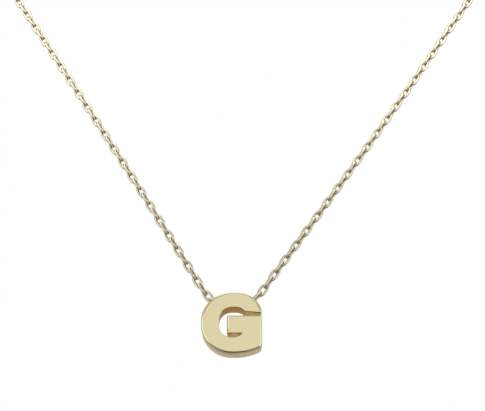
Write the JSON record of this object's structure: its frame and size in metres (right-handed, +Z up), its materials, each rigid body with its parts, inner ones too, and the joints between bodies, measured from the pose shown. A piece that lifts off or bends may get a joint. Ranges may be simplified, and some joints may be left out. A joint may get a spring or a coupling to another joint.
{
  "type": "initial pendant necklace",
  "caption": "Polished block initial pendant threaded through its upper stroke on a fine cable chain that closes with a spring ring at the nape.",
  "frame": {"origin": "centre of the neck that the necklace goes round, level with the place where the chain lies over its sides", "axes": "+Z up along the neck, +Y towards the nape, -Y is the side that the letter's front faces, +X to the right of a viewer who faces the letter"},
  "size_m": [0.1174, 0.1083, 0.1229],
  "materials": {
    "letter_gold": "mirror-polished pale yellow gold alloy",
    "chain_gold": "drawn and tumbled pale yellow gold wire",
    "clasp_gold": "polished pale yellow gold alloy"
  },
  "bodies": {
    "necklace": {"chain": "chain_gold", "clasp": "clasp_gold", "jump_ring_left": "clasp_gold", "jump_ring_right": "clasp_gold"},
    "pendant": {"letter": "letter_gold"}
  },
  "joints": [
    {"name": "letter_swing", "type": "hinge", "parent": "necklace", "child": "pendant", "pos_m": [-0.0025, -0.058, -0.07985], "axis": [1, 0, 0], "range_deg": [-45, 20]}
  ]
}
